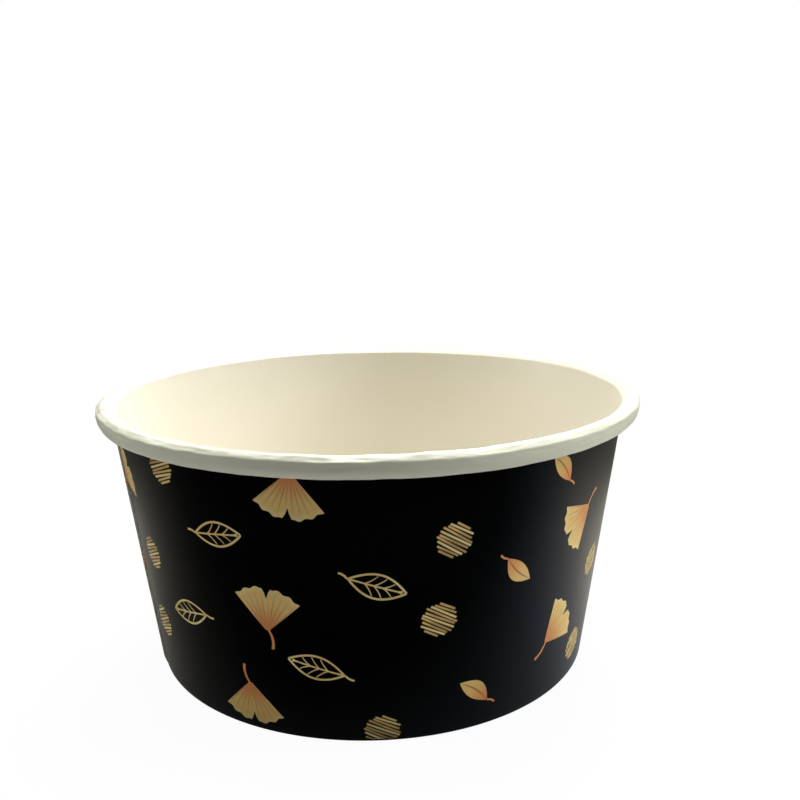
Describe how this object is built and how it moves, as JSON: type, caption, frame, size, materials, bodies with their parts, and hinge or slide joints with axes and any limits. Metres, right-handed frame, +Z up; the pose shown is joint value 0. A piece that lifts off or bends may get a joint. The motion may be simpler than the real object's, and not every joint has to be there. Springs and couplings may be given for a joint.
{
  "type": "paper dessert cup",
  "caption": "Short, wide paper cup for desserts: tapered printed side wall with a rolled rim, and a recessed base disc held in a folded foot.",
  "frame": {"origin": "centre of the foot, on the table", "axes": "+Z up along the cup's axis, -Y towards the front of the cup"},
  "size_m": [0.096, 0.096, 0.047],
  "materials": {
    "sidewall_board": "satin print outside, coated off-white board inside and on the rolled rim",
    "base_board": "coated off-white board"
  },
  "bodies": {
    "root": {"sidewall": "sidewall_board", "base_disc": "base_board"}
  },
  "joints": []
}
